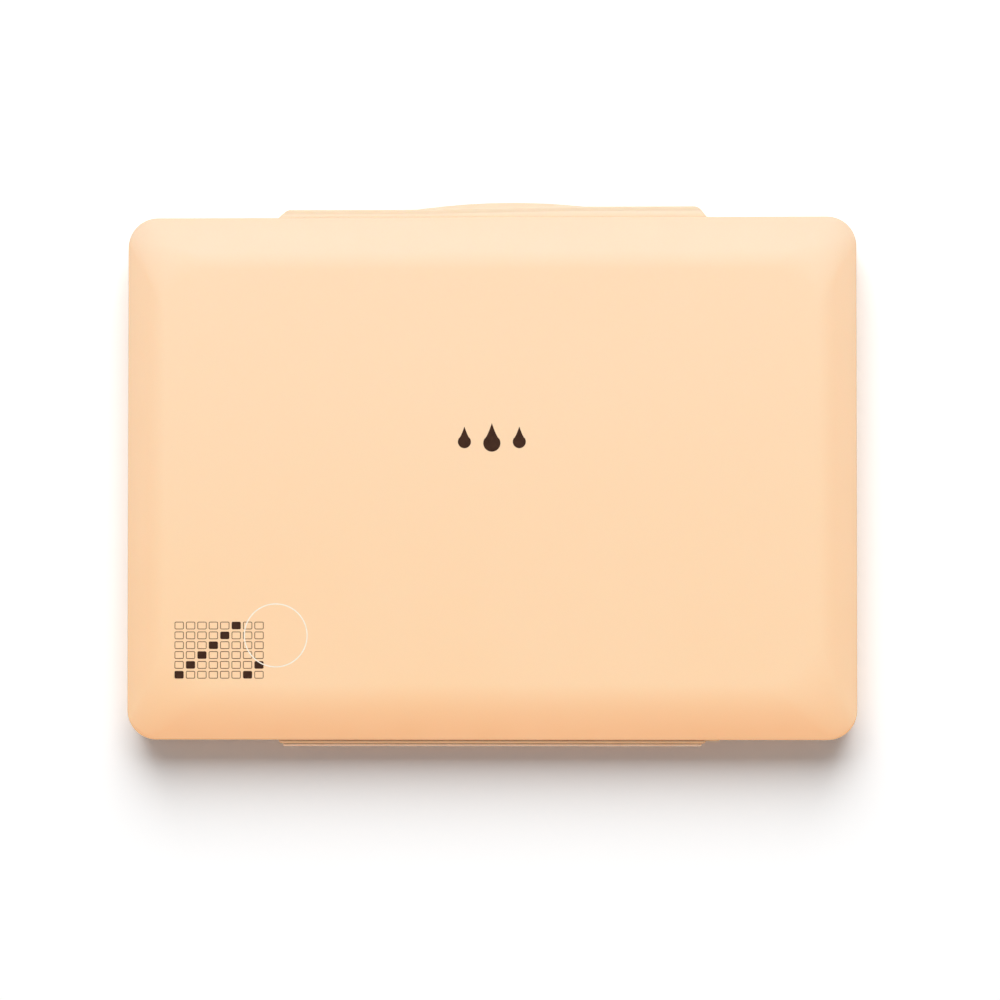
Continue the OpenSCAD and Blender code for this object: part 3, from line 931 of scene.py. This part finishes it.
def well_places():
    """(centre x, centre y, half width, half depth) of every well."""
    pitch = (WELL_SPAN - SMALL_W) / (SMALL_WELLS - 1)
    for k in range(SMALL_WELLS):
        yield (k - (SMALL_WELLS - 1) / 2) * pitch, SMALL_Y, SMALL_W / 2, SMALL_D / 2
    large_w = (WELL_SPAN - (LARGE_WELLS - 1) * LARGE_GAP) / LARGE_WELLS
    for y in LARGE_YS:
        for k in range(LARGE_WELLS):
            yield (k - (LARGE_WELLS - 1) / 2) * (large_w + LARGE_GAP), y, large_w / 2, LARGE_D / 2


def inside(x, y, loop):
    """Whether a point lies inside a convex counter-clockwise loop."""
    for i, (x0, y0, _) in enumerate(loop):
        x1, y1, _ = loop[(i + 1) % len(loop)]
        if (x1 - x0) * (y - y0) - (y1 - y0) * (x - x0) < -1e-12:
            return False
    return True


def sheet_with_holes(outline, holes, z):
    """Triangles of a flat sheet at height z inside an outline and outside its holes."""
    points, edges = [], []
    for loop in [outline] + holes:
        start, n = len(points), len(loop)
        points += [Vector((x, y)) for x, y, _ in loop]
        edges += [(start + i, start + (i + 1) % n) for i in range(n)]
    shaded_flat, _, faces, _, _, _ = delaunay_2d_cdt(points, edges, [], 1, 1e-7)

    def in_hole(face):
        x = sum(shaded_flat[i].x for i in face) / len(face)
        y = sum(shaded_flat[i].y for i in face) / len(face)
        return any(inside(x, y, hole) for hole in holes)

    kept = [list(f) for f in faces if not in_hole(f)]
    return [(p.x, p.y, z) for p in shaded_flat], kept


def well_profiles(low, sheet_top):
    """(inset, corner radius, z) along the inside and the outside of a well."""
    well_r, least_r, wall, draft = 6 * MM, 1.5 * MM, 1.0 * MM, 0.5 * MM
    roll, fillet, back_r = 0.8 * MM, 2.4 * MM, 2 * MM
    ceiling = PALETTE_HIGH.z - wall
    # from the rolled rim to the floor
    inner = [(-roll * fall, well_r, low + roll * rise) for fall, rise in quarter_turn(4)]
    for fall, rise in quarter_turn(6):
        i = draft + fillet * rise
        inner.append((i, max(well_r - i, least_r), ceiling - fillet * fall))
    # from the sheet up to the back of the floor
    outer = [(-wall, well_r + wall, sheet_top)]
    for fall, rise in quarter_turn(5):
        i = draft - 0.9 * wall + back_r * rise
        outer.append((i, max(well_r - i, least_r), ceiling + wall - back_r * fall))
    return inner, outer


def make_palette(plastic):
    """The palette's sheet and its wells, their rims rolled and their floors filleted."""
    low, top, soft = PALETTE_LOW.z, PALETTE_LOW.z + 1.2 * MM, 0.3 * MM
    well_steps, edge_steps = 8, 12
    edge_r = CORNER_R - LID_WALL - PALETTE_GAP
    inner, outer = well_profiles(low, top)
    parts = []
    lower_holes, upper_holes = [], []
    for cx, cy, wx, wy in well_places():
        for profile, holes in ((inner, lower_holes), (outer, upper_holes)):
            rings = [rounded_ring(wx - i, wy - i, r, z, well_steps, (cx, cy)) for i, r, z in profile]
            holes.append(rings[0])
            parts.append(stack(rings, cap_start=False))
    edge = []
    for i, z in ((soft, low), (0, low + soft), (0, top - soft), (soft, top)):
        edge.append(rounded_ring(PALETTE_HIGH.x - i, PALETTE_HIGH.y - i, edge_r - i, z, edge_steps))
    parts.append(stack(edge, cap_start=False, cap_end=False))
    parts.append(sheet_with_holes(edge[0], lower_holes, low))
    parts.append(sheet_with_holes(edge[-1], upper_holes, top))
    add_piece("mixing_palette", parts, plastic, "lid", ["palette"], sharp_deg=50)


# ---------------------------------------------------------------- generic print on the lid


PRINT_LOW, PRINT_HIGH = TOP_Z - 0.01 * MM, TOP_Z + 0.03 * MM
DROPS = ((-11.5 * MM, 9.5 * MM), (0.5 * MM, 12.5 * MM), (12.5 * MM, 9.5 * MM))  # (x, height)
DROPS_Y = 17.5 * MM
CHART_X, CHART_Y = -136.3 * MM, -64.7 * MM  # centre of the chart's first box
CHART_PITCH_X, CHART_PITCH_Y = 5.0 * MM, 4.3 * MM
RING_X, RING_Y, RING_R = -94 * MM, -69 * MM, 14 * MM


def disc(x, y, r, segments=96):
    """Outline of a circle."""
    angles = [2 * math.pi * k / segments for k in range(segments)]
    return [(x + r * math.cos(a), y + r * math.sin(a)) for a in angles]


def drop(x, y, h, steps=14):
    """Outline of a drop of paint of height h, its point upwards."""
    r = 0.3 * h
    tip_y = y + h / 2
    outline = arc((x, y - h / 2 + r), r, 150, 390, steps * 2)
    (x0, y0), (x1, y1) = outline[0], outline[-1]
    shares = [k / steps for k in range(1, steps)]
    outline += [(x1 + (x - x1) * t**0.8, y1 + (tip_y - y1) * t**1.15) for t in shares]
    outline.append((x, tip_y))
    outline += [(x0 + (x - x0) * t**0.8, y0 + (tip_y - y0) * t**1.15) for t in shares[::-1]]
    return outline


def chart_parts():
    """A small chart of the cups: open boxes, and filled ones on a diagonal."""
    half_x, half_y, corner, line = 2.0 * MM, 1.65 * MM, 0.6 * MM, 0.28 * MM
    parts = []
    for row in range(CUP_ROWS):
        for col in range(CUP_COLS):
            centre = (CHART_X + col * CHART_PITCH_X, CHART_Y - row * CHART_PITCH_Y)
            outer = rounded_ring(half_x, half_y, corner, PRINT_LOW, 4, centre)
            inner = rounded_ring(half_x - line, half_y - line, corner - line, PRINT_LOW, 4, centre)
            if row == CUP_ROWS - 1 - col % CUP_ROWS:
                parts.append(stack([outer, at_height(outer, PRINT_HIGH)]))
            else:
                parts.append(band(outer, inner, PRINT_LOW, PRINT_HIGH))
    return parts


def make_print(dark, light):
    """Plain marks on the lid: three drops, a small chart of the cups and a pale ring across it."""
    parts = []
    for x, h in DROPS:
        outline = drop(x, DROPS_Y, h)
        parts.append(stack([at_height(outline, PRINT_LOW), at_height(outline, PRINT_HIGH)]))
    add_piece("lid_print_dark", parts + chart_parts(), dark, "lid")
    outer, inner = disc(RING_X, RING_Y, RING_R), disc(RING_X, RING_Y, RING_R - 0.5 * MM)
    ring = band(outer, inner, PRINT_LOW, PRINT_HIGH + 0.01 * MM)
    add_piece("lid_print_light", [ring], light, "lid")


# ---------------------------------------------------------------- stage, light and camera


PICTURE_SCALE = 0.4385 * MM  # one pixel of the photograph, at the height of the lid's edge
CAMERA_HEIGHT = 2.2
TILT_X = 0.036  # how far the camera stands to the right of straight above, as a slope
TILT_Y = 0.032  # and how far towards the hinge
CAMERA_ROLL = -0.0003
AIM = Vector((3.75 * MM, -9.6 * MM, 25 * MM))

FLOOR = 0.9
FLOOR_SHOWN = 1.6
FLOOR_HALF = 2.2
SKY = 0.18  # shares of the light on a level surface: from all round, the key and each low fill
KEY = 0.59
FILLS = (("fill_front", -90, 0.17), ("fill_left", 180, 0.115), ("fill_right", 0, 0.115))
LIGHT_DISTANCE = 10.0
KEY_LEVEL = 47.5  # degrees above the table
FILL_LEVEL = 24
KEY_W, KEY_H = 8.0, 9.1
FILL_W, FILL_H = 8.0, 3.5


def seen_ray(tree):
    """1 for rays that see or mirror a surface, 0 for rays that carry light on from it."""
    ray = tree.nodes.new("ShaderNodeLightPath")
    seen = ray.outputs["Is Camera Ray"]
    for kind in ("Is Glossy Ray", "Is Transmission Ray"):
        either = tree.nodes.new("ShaderNodeMath")
        either.operation = "MAXIMUM"
        tree.links.new(seen, either.inputs[0])
        tree.links.new(ray.outputs[kind], either.inputs[1])
        seen = either.outputs[0]
    return seen


def make_floor():
    """A white table, shown a little over its own white so that it stays white to the frame's edges."""
    n = Nodes("white_table")
    lit = n.add("ShaderNodeBsdfDiffuse", {"Color": (FLOOR, FLOOR, FLOOR, 1)}).outputs[0]
    shown_colour = (FLOOR_SHOWN, FLOOR_SHOWN, FLOOR_SHOWN, 1)
    shown = n.add("ShaderNodeBsdfDiffuse", {"Color": shown_colour}).outputs[0]
    either = n.add("ShaderNodeMixShader", {0: seen_ray(n.tree), 1: lit, 2: shown})
    n.tree.links.new(either.outputs[0], n.output.inputs["Surface"])
    corners = ((-1, -1), (1, -1), (1, 1), (-1, 1))
    points = [(x * FLOOR_HALF, y * FLOOR_HALF, -0.05 * MM) for x, y in corners]
    mesh = bpy.data.meshes.new("table")
    mesh.from_pydata(points, [], [[0, 1, 2, 3]])
    mesh.materials.append(n.material)
    table = bpy.data.objects.new("table", mesh)
    bpy.context.scene.collection.objects.link(table)


def make_world():
    """A white studio: full white where it is seen, and softer where it lights."""
    world = bpy.data.worlds.new("studio")
    bpy.context.scene.world = world
    world.use_nodes = True
    tree = world.node_tree
    tree.nodes.clear()
    output = tree.nodes.new("ShaderNodeOutputWorld")
    background = tree.nodes.new("ShaderNodeBackground")
    background.inputs["Color"].default_value = (1, 1, 1, 1)
    strength = tree.nodes.new("ShaderNodeMapRange")
    strength.inputs["To Min"].default_value = SKY
    strength.inputs["To Max"].default_value = 1.0
    tree.links.new(seen_ray(tree), strength.inputs["Value"])
    tree.links.new(strength.outputs["Result"], background.inputs["Strength"])
    tree.links.new(background.outputs[0], output.inputs["Surface"])


def add_area(name, bearing_deg, level_deg, size_x, size_y, share):
    """An area light that gives this share of a white level surface's full light."""
    bearing, level = math.radians(bearing_deg), math.radians(level_deg)
    light = bpy.data.lights.new(name, "AREA")
    light.shape = "RECTANGLE"
    light.size, light.size_y = size_x, size_y
    light.energy = share * math.pi**2 * LIGHT_DISTANCE**2 / math.sin(level)
    obj = bpy.data.objects.new(name, light)
    bpy.context.scene.collection.objects.link(obj)
    shaded_flat = math.cos(level)
    way = Vector((shaded_flat * math.cos(bearing), shaded_flat * math.sin(bearing), math.sin(level)))
    obj.location = way * LIGHT_DISTANCE
    obj.rotation_mode = "QUATERNION"
    obj.rotation_quaternion = (-way).to_track_quat("-Z", "Y")
    obj.visible_camera = False
    return obj


def make_lights():
    """The key stands behind the clasp; three low fills light the box alone, not the table."""
    add_area("key", 90, KEY_LEVEL, KEY_W, KEY_H, KEY)
    box_only = bpy.data.collections.new("lit_by_fills")
    for obj in bpy.context.scene.objects:
        if obj.type == "MESH" and obj.name != "table":
            box_only.objects.link(obj)
    for name, bearing, share in FILLS:
        fill = add_area(name, bearing, FILL_LEVEL, FILL_W, FILL_H, share)
        fill.light_linking.receiver_collection = box_only
        fill.data.cycles.max_bounces = 0


def make_camera():
    """A camera nearly straight above, whose frame spans 1000 of the photograph's pixels."""
    camera = bpy.data.cameras.new("camera")
    camera.sensor_width = 36
    camera.lens = camera.sensor_width * CAMERA_HEIGHT / (1000 * PICTURE_SCALE)
    camera.clip_start, camera.clip_end = 0.05, 50
    obj = bpy.data.objects.new("camera", camera)
    bpy.context.scene.collection.objects.link(obj)
    back = Vector((TILT_X, -TILT_Y, 1)).normalized()
    up = Vector((math.sin(CAMERA_ROLL), math.cos(CAMERA_ROLL), 0))
    right = up.cross(back).normalized()
    up = back.cross(right)
    turn = Matrix((right, up, back)).transposed()
    obj.matrix_world = Matrix.Translation(AIM + back * CAMERA_HEIGHT) @ turn.to_4x4()
    bpy.context.scene.camera = obj


def main():
    make_camera()
    make_world()
    make_floor()
    case = case_material()
    # painted shade: the hinge's bend is a darker copy of the plastic, for the shade under the lid's edge
    hinge_thin_shaded = web_material("hinge_bend_shaded_plastic", rgb(236, 187, 151), rgb(248, 206, 172))
    # painted light: the clasp's fold is a paler copy of the plastic, as if lit
    clasp_thin_lit = web_material("clasp_bend_lit_plastic", rgb(252, 223, 191), rgb(255, 235, 212))
    tray = white_material(
        "tray_plastic", rgb(229, 229, 226), rgb(221, 221, 217), rough=0.42, grain_scale=1800, grain=0.12
    )
    cup = white_material(
        "cup_plastic", rgb(232, 233, 231), rgb(225, 227, 225), rough=0.3, grain_scale=1500, grain=0.06
    )
    slab = white_material(
        "palette_plastic", rgb(234, 234, 232), rgb(228, 228, 226), rough=0.22, grain_scale=1200, grain=0.04
    )
    make_lid(case)
    make_lid_clips(case)
    make_upper_flange(case)
    make_lower_flange(case)
    make_hinge_bend(hinge_thin_shaded)
    make_clasp(case, clasp_thin_lit)
    make_base(case)
    make_catch(case)
    tray_node = frame["nodes"]["cup_tray"]
    tray_node.data.materials.clear()
    tray_node.data.materials.append(tray)
    make_cups(cup)
    make_paints()
    make_films(film_material())
    make_palette(slab)
    make_print(
        ink_material("dark_ink", rgb(62, 36, 20), rgb(50, 25, 11), rough=0.42),
        ink_material("light_ink", rgb(255, 247, 233), rgb(250, 238, 220), rough=0.45),
    )
    make_lights()
    bpy.context.scene.view_settings.view_transform = "Standard"


main()
